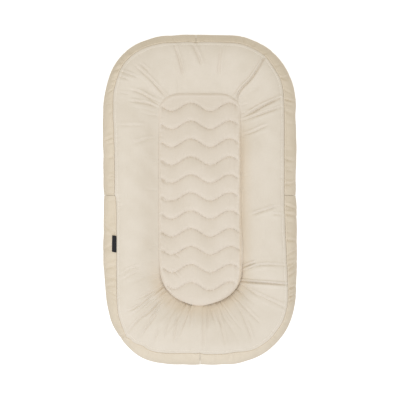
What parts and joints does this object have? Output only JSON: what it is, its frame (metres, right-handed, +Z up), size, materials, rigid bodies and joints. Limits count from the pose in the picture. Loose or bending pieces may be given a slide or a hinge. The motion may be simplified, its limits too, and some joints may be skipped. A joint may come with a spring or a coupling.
{
  "type": "infant lounger",
  "caption": "Oval infant lounger: a soft bolster ring in a sewn cover round a quilted centre pad, with a lengthwise zip in its base.",
  "frame": {"origin": "on the floor below the middle of the lounger", "axes": "+Y towards the head end, +Z up, +X to the right when the head end is ahead and the quilted side is up"},
  "size_m": [0.432, 0.737, 0.11],
  "materials": {
    "face_cotton": "matte",
    "quilted_cotton": "matte",
    "side_cotton": "matte",
    "base_cotton": "matte",
    "label_ribbon": "satin",
    "ticking": "matte",
    "fibre": "matte",
    "zip_tape": "matte",
    "zip_coil": "satin",
    "zip_metal": "satin"
  },
  "bodies": {
    "lounger": {"face_panel": "face_cotton", "side_panel_head_right": "side_cotton", "side_panel_head_left": "side_cotton", "side_panel_foot_left": "side_cotton", "side_panel_foot_right": "side_cotton", "base_panel_left": "base_cotton", "base_panel_right": "base_cotton", "side_label": "label_ribbon", "quilted_pad": "quilted_cotton", "quilt_backing": "ticking", "centre_insert": "fibre", "bolster_casing": "ticking", "bolster_fill": "fibre", "zip_tape_left": "zip_tape", "zip_tape_right": "zip_tape", "zip_coil_left": "zip_coil", "zip_coil_right": "zip_coil", "zip_top_stop_left": "zip_metal", "zip_top_stop_right": "zip_metal", "zip_bottom_stop": "zip_metal"},
    "slider": {"zip_slider": "zip_metal"},
    "pull": {"zip_pull": "zip_metal"}
  },
  "joints": [
    {"name": "zip_slide", "type": "slide", "parent": "lounger", "child": "slider", "axis": [0, 1, 0], "range_m": [-0.405, 0]},
    {"name": "pull_hinge", "type": "hinge", "parent": "slider", "child": "pull", "pos_m": [0, 0.2121, 0.0041], "axis": [1, 0, 0], "range_deg": [0, 170]}
  ]
}
